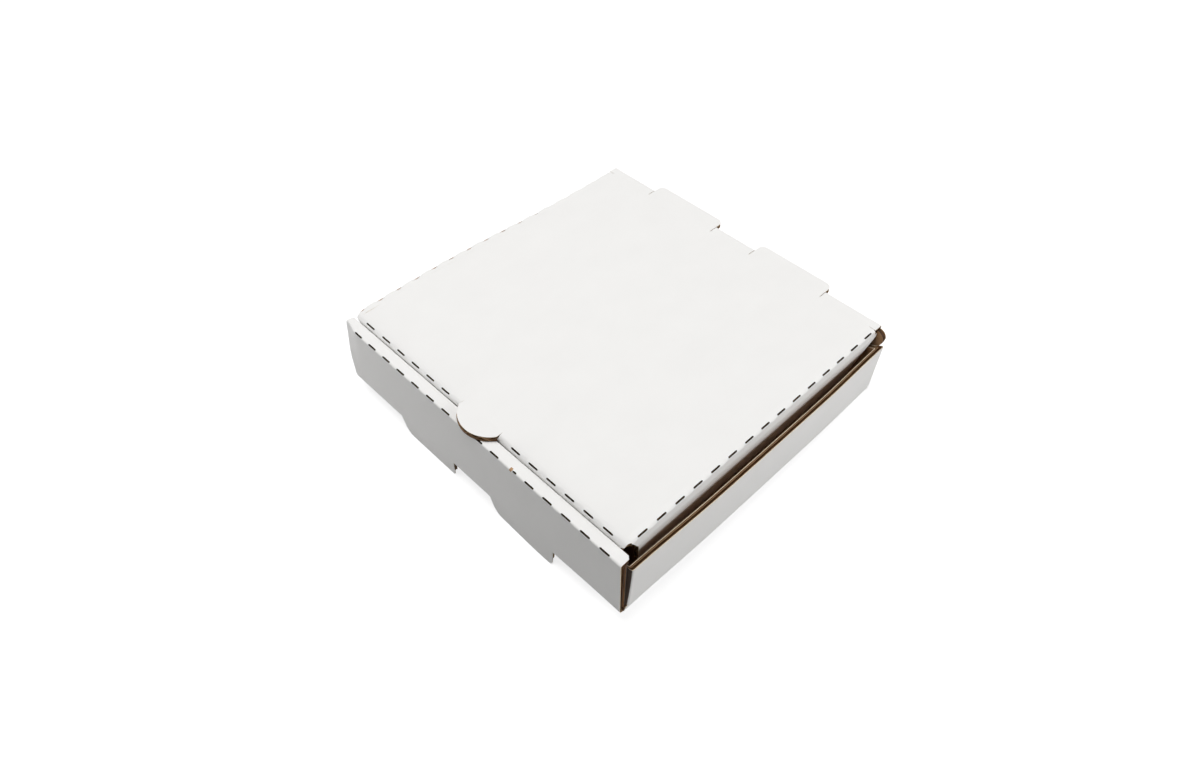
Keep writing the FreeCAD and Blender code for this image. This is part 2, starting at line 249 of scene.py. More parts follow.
def smooth(low, high, value):
    """A soft step from 0 at low to 1 at high."""
    share = min(max((value - low) / (high - low), 0.0), 1.0)
    return share * share * (3 - 2 * share)


def level(value):
    """A function that gives one value everywhere."""
    return lambda *anywhere: value


# Folded paths

def left_of(way):
    """The direction to the left of another one."""
    return Vector((-way.y, way.x))


class FoldPath:
    """The outer face of the board as a line with corners, and the inner face to its left."""

    def __init__(self, corners, thickness=BOARD):
        self.outer = [Vector(corner) for corner in corners]
        self.ways = [(b - a).normalized() for a, b in zip(self.outer, self.outer[1:])]
        self.stations = [0.0]
        for a, b in zip(self.outer, self.outer[1:]):
            self.stations.append(self.stations[-1] + (b - a).length)
        self.thickness = thickness
        lefts = [left_of(way) for way in self.ways]
        self.inner = [self.outer[0] + lefts[0] * thickness]
        self.turns = [0.0]
        for index in range(1, len(self.outer) - 1):
            turn = abs(self.ways[index - 1].angle_signed(self.ways[index]))
            setback = thickness * math.tan(turn / 2)
            corner = self.outer[index] + lefts[index - 1] * thickness - self.ways[index - 1] * setback
            self.inner.append(corner)
            self.turns.append(turn)
        self.inner.append(self.outer[-1] + lefts[-1] * thickness)
        self.turns.append(0.0)

    def rounded(self, apex, index, share, reach, radius):
        """A point on a rounded corner; share runs from -1 before it to 1 after it."""
        before, after = self.ways[index - 1], self.ways[index]
        turn = self.turns[index]
        tangent = radius * math.tan(turn / 2)
        straight = reach - tangent
        total = 2 * straight + radius * turn
        travel = (share + 1) / 2 * total
        if travel < straight:
            return apex - before * (reach - travel)
        if travel > straight + radius * turn:
            return apex + after * (tangent + travel - straight - radius * turn)
        angle = (travel - straight) / radius
        left = left_of(before)
        centre = apex - before * tangent + left * radius
        way = before * math.sin(angle) - left * math.cos(angle)
        return centre + way * radius

    def point(self, station, depth, radius):
        """The point at a station and a depth into the board; radius gives the outer radius of a fold."""
        for index in range(1, len(self.outer) - 1):
            offset = station - self.stations[index]
            if abs(offset) < BEND:
                share = offset / BEND
                face = self.rounded(self.outer[index], index, share, BEND, radius(index))
                inner_reach = BEND - self.thickness * math.tan(self.turns[index] / 2)
                inner_radius = min(INNER_FOLD, inner_reach * INNER_FOLD_SHARE)
                back = self.rounded(self.inner[index], index, share, inner_reach, inner_radius)
                return face + (back - face) * (depth / self.thickness)
        leg = 0
        while leg < len(self.ways) - 1 and station > self.stations[leg + 1]:
            leg += 1
        way = self.ways[leg]
        return self.outer[leg] + way * (station - self.stations[leg]) + left_of(way) * depth


# Outlines in the flat sheet

def arc(centre, radius, start, end, steps=8):
    """Points along a round corner, from one angle in degrees to another."""
    angles = [math.radians(start + (end - start) * step / steps) for step in range(steps + 1)]
    return [(centre[0] + radius * math.cos(a), centre[1] + radius * math.sin(a)) for a in angles]


def join_halves(right, left):
    """A closed outline from its two halves, both given at positive widths."""
    return right + [(station, -width) for station, width in reversed(left)]


def slot(station, width, length, opening):
    """A narrow cut along the width, with pointed ends, and as wide as its opening."""
    reach, tip = length / 2, opening / 2
    return [
        (station, width - reach),
        (station + tip, width - reach + tip),
        (station + tip, width + reach - tip),
        (station, width + reach),
        (station - tip, width + reach - tip),
        (station - tip, width - reach + tip),
    ]


def spread(low, high, step):
    """Evenly spaced values from low to high, about one step apart."""
    count = max(1, math.ceil((high - low) / step))
    return [low + (high - low) * index / count for index in range(count + 1)]


def split_on_grid(loop, rows, columns):
    """Add a point wherever an outline crosses a line of the grid."""
    points = []
    for start, end in zip(loop, loop[1:] + loop[:1]):
        shares = {0.0}
        for axis, lines in ((0, rows), (1, columns)):
            step = end[axis] - start[axis]
            if abs(step) > SAME_PLACE:
                crossings = [(line - start[axis]) / step for line in lines]
                shares.update(share for share in crossings if SAME_SHARE < share < 1 - SAME_SHARE)
        for share in sorted(shares):
            points.append(tuple(a + (b - a) * share for a, b in zip(start, end)))
    return points


def inside_faces(faces, border):
    """The faces inside the outlines: each crossing of a border edge goes in or out."""
    neighbours = {}
    for number, face in enumerate(faces):
        for a, b in zip(face, face[1:] + face[:1]):
            neighbours.setdefault(frozenset((a, b)), []).append(number)
    inside = {}
    waiting = []
    for edge, pair in neighbours.items():
        if len(pair) == 1 and pair[0] not in inside:
            inside[pair[0]] = edge in border
            waiting.append(pair[0])
    while waiting:
        number = waiting.pop()
        face = faces[number]
        for a, b in zip(face, face[1:] + face[:1]):
            edge = frozenset((a, b))
            for other in neighbours[edge]:
                if other not in inside:
                    inside[other] = inside[number] != (edge in border)
                    waiting.append(other)
    return [face for number, face in enumerate(faces) if inside[number]]


def triangulate(loops, rows, columns):
    """Triangles that fill outlines with holes, with their corners on the grid where they can."""
    points, edges = [], []
    for loop in loops:
        split = split_on_grid(loop, rows, columns)
        first = len(points)
        points += split
        edges += [(first + i, first + (i + 1) % len(split)) for i in range(len(split))]
    points += [(row, column) for row in rows for column in columns]
    flat = [Vector(point) for point in points]
    whole_hull = 0
    result = geometry.delaunay_2d_cdt(flat, edges, [], whole_hull, SAME_PLACE)
    corners, made_edges, faces, _, sources, _ = result
    border = {frozenset(edge) for edge, source in zip(made_edges, sources) if source}
    return corners, inside_faces([list(face) for face in faces], border)


# Pieces of board

def cut_fold(centres, tight, bridge):
    """Radius along a fold with cuts: tight at each cut and softer on the bridges between them."""
    opens_from, open_at = [CUT_LENGTH / 2 + step for step in FOLD_OPENS]

    def radius(width):
        nearest = min(abs(abs(width) - centre) for centre in centres)
        return tight + (bridge(width) - tight) * smooth(opens_from, open_at, nearest)

    return radius


class Strip:
    """A stretch of the folded sheet: its path and outlines, how it lies in space and in the flat
    sheet, its folds and cuts, and the outlines and cut edges of the layers under its outer liner."""

    def __init__(self, path, loops, lie, flat, folds=None, slots=(), settle=None,
                 flutes_along_path=True, side=1, under=None, skin=level("white"),
                 medium_edge="medium", inner_edge="kraft"):
        self.path = path
        self.loops = loops
        self.lie = lie
        self.flat = flat
        self.folds = folds or {}
        self.slots = slots
        self.settle = settle or (lambda x, y, z: (x, y, z))
        self.flutes_along_path = flutes_along_path
        self.side = side
        self.under = under or loops
        self.skin = skin
        self.medium_edge = medium_edge
        self.inner_edge = inner_edge

    def radius(self, index, width):
        """Outer radius of a fold of the path."""
        return self.folds.get(index, level(SOFT_FOLD))(width)

    def at_slot(self, station, width):
        """Whether a point lies on the rim of a cut."""
        return any(abs(station - along) < BOARD / 2 and abs(width - across) < length / 2 + RIM_MARGIN
                   for along, across, length in self.slots)

    def rows(self, bend_step):
        """Stations of the grid: close together in the bends and wide apart between them."""
        values = set()
        stations = self.path.stations
        marks = [stations[0]]
        for station in stations[1:-1]:
            marks += [station - BEND, station + BEND]
            values.update(spread(station - BEND, station + BEND, bend_step))
        marks.append(stations[-1])
        for low, high in zip(marks[::2], marks[1::2]):
            if high > low:
                values.update(spread(low, high, LEG_STEP))
        return sorted(values)

    def to_space(self, station, width, depth):
        """A point of the board in the frame."""
        a, b = self.path.point(station, depth, lambda index: self.radius(index, width))
        x, y, z = self.lie(a, b, width)
        return place(*self.settle(self.side * x, y, z))


def settle_tray(x, y, z):
    """The leans and bows of a tray that was folded by hand."""
    rise = min(max(z / FRONT_RISE, 0.0), 1.0)
    pressed = 1 - smooth(BOARD, INNER_PANEL_FACE, y)
    low_right = smooth(*RIGHT_CORNER_GROWS, x) * (1 - rise) * (1 - smooth(*FRONT_FADE, y))
    curl = smooth(*CURL_ACROSS, -x) * smooth(CURL_FROM, FRONT_RISE, z) * pressed
    swell = smooth(SWELL_FROM, STRIP_END_OUTER, x) * rise * min(max(y / BOARD, 0.0), 1.0) * pressed
    lip = smooth(LIP_FROM, FOOT_DROP, -z) * smooth(*LIP_ACROSS, x)
    back = FRONT_LEAN * rise * pressed + RIGHT_CORNER_BACK * low_right + LEFT_CORNER_CURL * curl
    back += RIGHT_END_SWELL * swell - FOOT_LIP * lip
    height = max(z, 0.0) / SIDE_RISE
    if x > 0:
        middle = smooth(*BOW_GROWS, y) * smooth(BOX_DEPTH, BOW_FADES_FROM, y)
        outwards = RIM_BOW * middle * (LOW_BOW_SHARE + (1 - LOW_BOW_SHARE) * height)
    else:
        outwards = LEFT_REAR_LEAN * height * smooth(*LEFT_LEAN_GROWS, y)
    return x + outwards * smooth(WALL_FROM, HALF_BOX, abs(x)), y + back, z


def settle_side(x, y, z):
    """Both ends of a side wall stand further back at the top, and the rest settles with the tray."""
    front = smooth(*SETBACK_ACROSS, abs(x)) * (1 - smooth(*SETBACK_FADE, y))
    rear = smooth(*REAR_LEAN_ACROSS, abs(x)) * smooth(*REAR_LEAN_ALONG, y)
    setback = (SIDE_SETBACK * front + REAR_CORNER_LEAN * rear) * z / SIDE_RISE
    return settle_tray(x, y + setback, z)


def settle_lid(x, y, z):
    """The lid dips at its front edge, and its left edge runs outwards to the front."""
    dip = LID_FRONT_DIP * (1 - smooth(LID_FRONT, LID_FRONT + DIP_REACH, y)) * smooth(*DIP_ACROSS, abs(x))
    skew = LID_LEFT_IN * smooth(*LEFT_IN_GROWS, y) - LID_LEFT_OUT * smooth(*LEFT_OUT_FADES, y)
    return x + skew * smooth(LID_SKEW_FROM, HALF_LID, -x), y, z - dip


class Shells:
    """Closed thin shells gathered into one mesh, with the names of its materials."""

    def __init__(self, *names):
        self.names = names
        self.vertices = []
        self.faces = []
        self.materials = []
        self.flat = []

    def add_face(self, corners, material):
        """Add one face in a material."""
        self.faces.append(corners)
        self.materials.append(self.names.index(material))

    def add(self, strip, loops, rows, columns, depths, skin, back, edge, rim):
        """Add the part of a strip between two depths of the board. The materials are skin, a
        function of the place on its face, and those of its back, cut edges and slot rims."""
        corners, faces = triangulate(loops, rows, columns)
        used = sorted({index for face in faces for index in face})
        order = {index: number for number, index in enumerate(used)}
        first = len(self.vertices)
        count = len(used)
        for depth in depths:
            for index in used:
                station, width = corners[index]
                across, along = strip.flat(station, width)
                self.vertices.append(strip.to_space(station, width, depth(across)))
                self.flat.append((across, along, depth(across)))
        rims = [strip.at_slot(*corners[index]) for index in used]
        uses = {}
        for face in faces:
            ring = [order[index] + first for index in face]
            middle = sum((corners[index] for index in face), Vector((0, 0))) / len(face)
            self.add_face(ring, skin(*middle))
            self.add_face([index + count for index in reversed(ring)], back)
            for a, b in zip(ring, ring[1:] + ring[:1]):
                uses.setdefault(frozenset((a, b)), []).append((a, b))
        for pairs in uses.values():
            if len(pairs) == 1:
                a, b = pairs[0]
                at_rim = rims[a - first] and rims[b - first]
                self.add_face([b, a, a + count, b + count], rim if at_rim else edge)

    def make(self, name, materials):
        """Turn the shells into an object."""
        mesh = bpy.data.meshes.new(name)
        mesh.from_pydata(self.vertices, [], self.faces)
        for key in self.names:
            mesh.materials.append(materials[key])
        for polygon, material in zip(mesh.polygons, self.materials):
            polygon.material_index = material
            polygon.use_smooth = True
        layer = mesh.attributes.new("flat_sheet", "FLOAT_VECTOR", "POINT")
        layer.data.foreach_set("vector", [value for flat in self.flat for value in flat])
        shape = bmesh.new()
        shape.from_mesh(mesh)
        bmesh.ops.recalc_face_normals(shape, faces=shape.faces)
        shape.to_mesh(mesh)
        shape.free()
        mesh.set_sharp_from_angle(angle=SHARP_ANGLE)
        piece = bpy.data.objects.new(name, mesh)
        bpy.context.collection.objects.link(piece)
        return piece


def wave(depth_side):
    """Depth of one face of the medium as a function of the place across the flutes."""
    def depth(across):
        middle = BOARD / 2 + FLUTE_HEIGHT * math.cos(2 * math.pi * across / FLUTE_PITCH)
        return middle + depth_side * MEDIUM / 2
    return depth


def build_board(name, strips, materials):
    """Outer liner, medium and inner liner of some strips, as three pieces."""
    outer = Shells("white", "kraft", "edge", "crushed")
    medium = Shells("medium", "crushed")
    inner = Shells("kraft", "crushed", "edge")
    flute_step = FLUTE_PITCH / STEPS_PER_FLUTE
    for strip in strips:
        widths = [width for loop in strip.loops for _, width in loop]
        stations = [station for loop in strip.loops for station, _ in loop]
        left, right = min(widths), max(widths)
        start, end = min(stations), max(stations)
        rows = [row for row in strip.rows(BEND_STEP) if start < row < end]
        outer_loops = strip.loops + [slot(*cut, CUT_WIDTH) for cut in strip.slots]
        lower_loops = strip.under + [slot(*cut, CUT_BELOW_WIDTH) for cut in strip.slots]
        # The rims of the cuts in the outer liner are crushed pulp darkened with painted shade
        outer.add(strip, outer_loops, rows, spread(left, right, OUTER_STEP),
                  (level(0.0), level(LINER)), strip.skin, "kraft", "edge", "crushed")
        inner.add(strip, lower_loops, rows, spread(left, right, INNER_STEP),
                  (level(BOARD - LINER), level(BOARD)), level("kraft"), "kraft",
                  strip.inner_edge, strip.inner_edge)
        if strip.flutes_along_path:
            flute_rows = [row for row in strip.rows(COARSE_BEND_STEP) if start < row < end]
            flute_columns = spread(left, right, flute_step)
        else:
            flute_rows = spread(start, end, flute_step)
            flute_columns = spread(left, right, ALONG_FLUTES_STEP)
        medium.add(strip, lower_loops, flute_rows, flute_columns, (wave(-1), wave(1)),
                   level("medium"), "medium", strip.medium_edge, strip.medium_edge)
    return [
        outer.make(f"{name}_outer_liner", materials),
        medium.make(f"{name}_flutes", materials),
        inner.make(f"{name}_inner_liner", materials),
    ]


# Tray

def front_to_back(a, b, width):
    """Lie of a strip whose path runs over the front and back walls."""
    return width, a, b


def side_to_side(a, b, width):
    """Lie of a strip whose path runs over the side folds."""
    return a, width, b


def around_sides(a, b, width):
    """Lie of a strip whose path runs around the tray, seen from above."""
    return a, b, width


def right_panel_end(top_outer, low_front):
    """Right end of the outer front panel, from the strip down to the bottom."""
    return [
        (top_outer - 1.4, STRIP_END_OUTER - 0.7),
        (top_outer + 2.0, STRIP_END_OUTER - 0.7),
        (low_front - 2.0, STRIP_END_OUTER + 0.8),
        (low_front + BOARD, STRIP_END_OUTER + 0.8),
    ]


def left_panel_end(top_outer, low_front):
    """Left end of the outer front panel, which draws in towards the bottom."""
    top_end = STRIP_END_OUTER + LEFT_END_OUT
    return [
        (top_outer - 1.4, top_end - 0.5),
        (top_outer + 3.0, top_end),
        (top_outer + 10.0, top_end - 0.6),
        (top_outer + 25.0, top_end - 2.1),
        (low_front - 3.0, STRIP_END_OUTER - 2.4),
        (low_front, STRIP_END_OUTER - 4.2),
        (low_front + BOARD, STRIP_END_OUTER - 5.0),
    ]


def right_shoulder(low_back):
    """Round upper corner of the back wall, from the side wall's rim to the lid's crease."""
    side_rim, rim = low_back + SIDE_RISE, low_back + BACK_RISE
    centre = (rim - SHOULDER_RADIUS, SHOULDER_REACH - SHOULDER_RADIUS)
    return [
        (side_rim - 2.0, SHOULDER_REACH - 2.4),
        (side_rim + 2.0, SHOULDER_REACH - 0.6),
    ] + arc(centre, SHOULDER_RADIUS, 90, 0) + [(rim, HALF_LID + HINGE_GAP)]


def left_shoulder(low_back):
    """Lower and bevelled upper corner of the back wall, on its left."""
    rim = low_back + LEFT_SHOULDER_RISE
    return [
        (low_back + SIDE_RISE - 2.5, SHOULDER_REACH - 2.4),
        (rim - 3.0, SHOULDER_REACH - 2.4),
        (rim - 0.8, SHOULDER_REACH - 3.4),
        (rim, HALF_LID + HINGE_GAP),
    ]


def tray_half(stations, foot_span, inner_end, panel_end, shoulder):
    """One half of the outline of the tray's main strip, at positive widths."""
    _, top_inner, top_outer, low_front, low_back, _ = stations
    lock_low, lock_high = foot_span[0] + LOCK_GAP, foot_span[1] - LOCK_GAP
    seam = HALF_BOX - BEND
    inner_panel = [
        (BOARD, lock_low),
        (0, lock_low + LOCK_BEVEL),
        (0, lock_high - LOCK_BEVEL),
        (BOARD, lock_high),
        (BOARD, STRIP_END_INNER - 3.4),
        (top_inner - 7.0, STRIP_END_INNER - 2.8),
        (top_inner - 0.6, inner_end - 0.8),
        (top_inner + 1.4, inner_end),
        (top_inner + 3.4, max(inner_end, STRIP_END_OUTER - 0.9)),
    ]
    bottom = [
        (low_front + BOARD + LAYER_GAP, seam),
        (low_front + SIDE_END, seam),
        (low_back, BACK_WALL_REACH),
        (low_back + SIDE_RISE - 6.0, BACK_WALL_REACH),
    ]
    vent = [(low_back + VENT_FLOOR, HALF_LID + HINGE_GAP)]
    return inner_panel + panel_end(top_outer, low_front) + bottom + shoulder(low_back) + vent


def front_fold_cuts(station):
    """Cuts of the front fold: two are under the thumb tab, where one end shows, and one is torn."""
    numbers = range(-FRONT_CUTS_PER_SIDE, FRONT_CUTS_PER_SIDE)
    centres = [CUT_PITCH * (number + 0.5) for number in numbers if number not in FRONT_CUTS_MISSING]
    cuts = [(station, centre + FRONT_CUTS_ASIDE, CUT_LENGTH) for centre in centres]
    return cuts + [(station, CUT_BY_TAB, CUT_LENGTH), (station, *TORN_CUT)]


def tray_main():
    """Inner front panel, strip, outer front panel, bottom and back wall in one strip."""
    path = FoldPath([
        (INNER_PANEL_FACE, LAYER_GAP),
        (INNER_PANEL_FACE, FRONT_RISE),
        (0, FRONT_RISE),
        (0, 0),
        (BOX_DEPTH, 0),
        (BOX_DEPTH, BACK_RISE),
    ])
    _, _, top_outer, low_front, _, _ = path.stations
    left_span = (-LEFT_FOOT[1], -LEFT_FOOT[0])
    right = tray_half(path.stations, RIGHT_FOOT, STRIP_END_INNER, right_panel_end, right_shoulder)
    left = tray_half(path.stations, left_span, LEFT_STRIP_END_INNER, left_panel_end, left_shoulder)
    loops = [join_halves(right, left)]
    slot_start, slot_end = low_front - FOOT_JOIN, low_front + BOARD + FOOT_DROP
    for low, high in (LEFT_FOOT, RIGHT_FOOT):
        loops.append([(slot_start, low), (slot_end, low), (slot_end, high), (slot_start, high)])
    cut_station = top_outer - FRONT_CUT_SHIFT
    torn_centre, torn_radius = TORN_SPOT

    def skin(station, width):
        """Brown where the liner is torn off beside a cut."""
        from_spot = math.hypot(station - cut_station, width - torn_centre)
        return "kraft" if from_spot < torn_radius else "white"

    return Strip(
        path, loops, front_to_back,
        flat=lambda station, width: (width + MAIN_FLUTE_SHIFT, station),
        folds={1: level(CRISP_FOLD), 2: level(CRISP_FOLD)},
        slots=front_fold_cuts(cut_station),
        settle=settle_tray,
        skin=skin,
        # Raw edges of its medium and inner liner in dark brown: painted shade for the shadow behind the
        # outer liner's edge
        medium_edge="crushed",
        inner_edge="crushed",
    )


def tray_side(side):
    """Side wall with its two corner tabs, wrapped around the tray."""
    back_tip = (HALF_BOX - BACK_TAB_REACH, SIDE_END - BACK_TAB_REACH * math.tan(BACK_TAB_LEAN))
    path = FoldPath([
        (HALF_BOX - FRONT_TAB_REACH, CORNER_TAB_FACE),
        (HALF_BOX, CORNER_TAB_FACE),
        (HALF_BOX, SIDE_END),
        back_tip,
    ])
    _, front, back, tip = path.stations
    low = BOARD + LAYER_GAP
    loop = [
        (0, low + TAB_TAPER),
        (front - BEND, low),
        (front + CORNER_RELIEF, low),
        (front + CORNER_RELIEF, BEND),
        (back - CORNER_RELIEF, BEND),
        (back - CORNER_RELIEF, low),
        (back + BEND, low),
        (tip, low + TAB_TAPER),
        (tip, SIDE_RISE - TAB_TAPER),
        (back + BEND, SIDE_RISE),
        (front - BEND, SIDE_RISE),
        (0, SIDE_RISE - TAB_TAPER),
    ]

    def skin(station, width):
        """Painted shade along the right front corner, where the fold lies deep in the gap behind the front
        panel's end.
        """
        # Painted shade: the dark material marks where the gap's shadow falls
        split = side > 0 and -BEND < station - front < GAP_SHADE_REACH
        return "crushed" if split else "white"

    return Strip(
        path, [loop], around_sides,
        flat=lambda station, width: (side * (HALF_BOX + width), station),
        folds={2: level(REAR_CORNER_FOLD)},
        settle=settle_side,
        side=side,
        skin=skin,
        inner_edge="edge",
    )


def tray_side_fold(side):
    """Fold between the bottom panel and a side wall."""
    path = FoldPath([(HALF_BOX - BEND, 0), (HALF_BOX, 0), (HALF_BOX, BEND)])
    start, end = CORNER_TAB_FACE + CORNER_RELIEF, SIDE_END - CORNER_RELIEF
    length = path.stations[-1]
    loop = [
        (0, CORNER_TAB_FACE),
        (BEND, CORNER_TAB_FACE - 0.8),
        (length - 1.2, CORNER_TAB_FACE - 0.4),
        (length, start),
        (length, end),
        (BEND, end),
        (0, SIDE_END),
    ]
    return Strip(
        path, [loop], side_to_side,
        flat=lambda station, width: (side * (HALF_BOX - BEND + station), width),
        folds={1: level(LOW_SIDE_FOLD)},
        settle=settle_side,
        flutes_along_path=False,
        side=side,
    )


def foot(left, right):
    """Foot in line with the outer front panel, slanted at its left end."""
    path = FoldPath([(0, FOOT_JOIN), (0, -FOOT_DROP)])
    low = path.stations[-1]
    slant_end = left + FOOT_SLANT

    def outline(end):
        """The foot's outline up to its right end."""
        return [(0, end)] + arc((low - FOOT_ROUND, end - FOOT_ROUND), FOOT_ROUND, 90, 0) + [
            (low, slant_end + 5.0),
            (low - 0.5, slant_end + 2.4),
            (low - 2.0, slant_end + 0.4),
            (low - 4.0, slant_end - 1.2),
            (FOOT_JOIN - 2.0, left),
            (0, left),
        ]

    return Strip(
        path, [outline(right)], front_to_back,
        flat=lambda station, width: (width + MAIN_FLUTE_SHIFT, station),
        settle=settle_tray,
        under=[outline(right - FOOT_UNDERCUT)],
    )


# Lid

def thumb_outline(start, fold, tip, radius, steps):
    """Half-round outline of the thumb tab, which the lid's front fold crosses."""
    centre = tip - THUMB_RADIUS
    half_angle = math.acos((fold - centre) / THUMB_RADIUS)
    chord = THUMB_RADIUS * math.sin(half_angle)
    end = math.degrees(half_angle)
    return [(start, -chord)] + arc((centre, 0), radius, -end, end, steps) + [(start, chord)]


def lid_main():
    """Lid panel with its rear tabs and front flap."""
    flap_low = LID_RISE - BOARD - FLAP_DROP
    flap_in = LID_FRONT + (LID_RISE - flap_low) * math.tan(FLAP_LEAN)
    path = FoldPath([(REAR_TAB_END, LID_RISE), (LID_FRONT, LID_RISE), (flap_in, flap_low)])
    _, fold, end = path.stations
    crease = REAR_TAB_END - (BOX_DEPTH - CREASE_DEPTH)
    low, high = PAIR_OFFSET - PAIR_WIDTH / 2, PAIR_OFFSET + PAIR_WIDTH / 2
    seam = HALF_LID - BEND
    radius = REAR_TAB_RADIUS
    rear_tab = [(crease, low)]
    rear_tab += arc((radius, low + radius), radius, 270, 180)
    rear_tab += arc((radius, high - radius), radius, 180, 90)
    front_corner = [
        (crease, high),
        (crease, seam),
        (fold - BEND, seam),
        (fold - BEND, HALF_LID - 0.2),
        (fold - 3.2, HALF_LID - 0.8),
        (fold - 2.2, FLAP_HALF + 4.2),
        (fold + 0.8, FLAP_HALF + 3.8),
        (fold + 3.0, FLAP_HALF + 1.4),
        (fold + 6.0, FLAP_HALF),
    ]
    half = rear_tab + front_corner + arc((end - FLAP_RADIUS, FLAP_HALF - FLAP_RADIUS), FLAP_RADIUS, 90, 0)
    thumb_tip = fold + LID_FRONT - THUMB_TIP
    loops = [
        join_halves(half, half),
        thumb_outline(fold - BEND, fold, thumb_tip, THUMB_RADIUS + TAB_SLIT, 24),
    ]
    centres = [THUMB_CUT_OFFSET + CUT_PITCH * index for index in range(FRONT_CUT_COUNT)]
    return Strip(
        path, loops, front_to_back,
        flat=lambda station, width: (width, station),
        folds={1: cut_fold(centres, LID_FRONT_CUT_FOLD, level(LID_FRONT_BRIDGE))},
        slots=[(fold - LID_CUT_SHIFT, side * centre, CUT_LENGTH) for centre in centres for side in (-1, 1)],
        settle=settle_lid,
    )


def thumb_tab():
    """Half-round tab in the plane of the lid."""
    path = FoldPath([(LID_FRONT + BEND, LID_RISE), (THUMB_TIP, LID_RISE)])
    tip = path.stations[-1]
    return Strip(
        path, [thumb_outline(0, BEND, tip, THUMB_RADIUS, 32)], front_to_back,
        flat=lambda station, width: (width, station),
        settle=settle_lid,
        under=[thumb_outline(0, BEND, tip, THUMB_RADIUS + THUMB_FLARE, 32)],
        # Its raw medium and inner edges in dark brown: painted shade for the shadow in the gap under the
        # tab
        medium_edge="crushed",
        inner_edge="crushed",
    )


def lid_side(side):
    """Side fold of the lid with its cuts, and the flap below it."""
    low = LID_RISE - BOARD - SIDE_FLAP_DROP
    path = FoldPath([
        (HALF_LID - SIDE_FLAP_IN, low),
        (HALF_LID + SIDE_FLAP_BULGE, LID_RISE - SIDE_FLAP_BULGE_DROP),
        (HALF_LID, LID_RISE),
        (HALF_LID - BEND, LID_RISE),
    ])
    _, _, fold, end = path.stations
    loop = [
        (end, SIDE_FLAP_START),
        (fold - 0.5, SIDE_FLAP_START),
        (fold - 8.0, SIDE_FLAP_START + SIDE_FLAP_TAPER / 2),
        (0, SIDE_FLAP_START + SIDE_FLAP_TAPER),
        (0, SIDE_FLAP_REAR - SIDE_FLAP_TAPER),
        (SIDE_RISE - low, SIDE_FLAP_REAR),
        (fold - BEND, SIDE_FLAP_END),
        (fold - BOARD - LAYER_GAP, SIDE_FLAP_END),
        (fold - BOARD - LAYER_GAP, SIDE_FLAP_TOP_END),
        (end, SIDE_FLAP_TOP_END),
    ]
    centres = [LID_FRONT + SIDE_CUT_START + CUT_PITCH * index for index in range(SIDE_CUT_COUNT)]
    more = LEFT_BRIDGE - REAR_LEFT_BRIDGE
    if side > 0:
        cut_station = fold + RIGHT_CUT_SHIFT
        radius = cut_fold(centres, RIGHT_CUT_FOLD, level(RIGHT_BRIDGE))
    else:
        cut_station = fold + LEFT_CUT_SHIFT
        radius = cut_fold(centres, LEFT_CUT_FOLD,
                          lambda width: REAR_LEFT_BRIDGE + more * smooth(*LEFT_BRIDGE_FADES, width))
    return Strip(
        path, [loop], side_to_side,
        flat=lambda station, width: (side * (HALF_LID + fold - station), width),
        folds={2: radius},
        slots=[(cut_station, centre, CUT_LENGTH) for centre in centres],
        settle=settle_lid,
        flutes_along_path=False,
        side=side,
    )


def rear_crease():
    """Three short stretches of board that bend between the back wall and the lid."""
    path = FoldPath([
        (BOX_DEPTH, VENT_FLOOR),
        (BOX_DEPTH + CREASE_BULGE, LID_RISE),
        (BOX_DEPTH - CREASE_DEPTH, LID_RISE),
    ])
    end = path.stations[-1]
    low = PAIR_OFFSET - PAIR_WIDTH / 2 - HINGE_GAP
    high = PAIR_OFFSET + PAIR_WIDTH / 2 + HINGE_GAP
    spans = [(-HALF_LID, -high), (-low, low), (high, HALF_LID)]
    return Strip(
        path, [[(0, a), (end, a), (end, b), (0, b)] for a, b in spans], front_to_back,
        flat=lambda station, width: (width, station),
        folds={1: level(CREASE_FOLD)},
        settle=settle_lid,
    )


# Materials

def linear(code):
    """Linear colour of an sRGB hex value."""
    values = [int(code[index:index + 2], 16) / 255 for index in (0, 2, 4)]
    curve = [v / 12.92 if v <= 0.04045 else ((v + 0.055) / 1.055) ** 2.4 for v in values]
    return (*curve, 1.0)


def add_node(tree, kind, settings=None, inputs=None):
    """Add a node, give it its settings, set or link its inputs, and return its outputs."""
    node = tree.nodes.new(kind)
    for key, value in (settings or {}).items():
        setattr(node, key, value)
    for key, value in (inputs or {}).items():
        if isinstance(value, bpy.types.NodeSocket):
            tree.links.new(value, node.inputs[key])
        else:
            node.inputs[key].default_value = value
    return node.outputs


def new_material(name):
    """An empty material and its Principled shader."""
    material = bpy.data.materials.new(name)
    material.use_nodes = True
    return material, material.node_tree, material.node_tree.nodes["Principled BSDF"]


def paper_noise(tree, across, along, detail=2.0):
    """Noise on the flat sheet, with its size in millimetres across and along the flutes."""
    sheet = add_node(tree, "ShaderNodeAttribute", {"attribute_name": "flat_sheet"})["Vector"]
    scaled = add_node(tree, "ShaderNodeVectorMath", {"operation": "DIVIDE"},
                      {0: sheet, 1: (across, along, along)})[0]
    return add_node(tree, "ShaderNodeTexNoise", None,
                    {"Vector": scaled, "Scale": 1.0, "Detail": detail})[0]


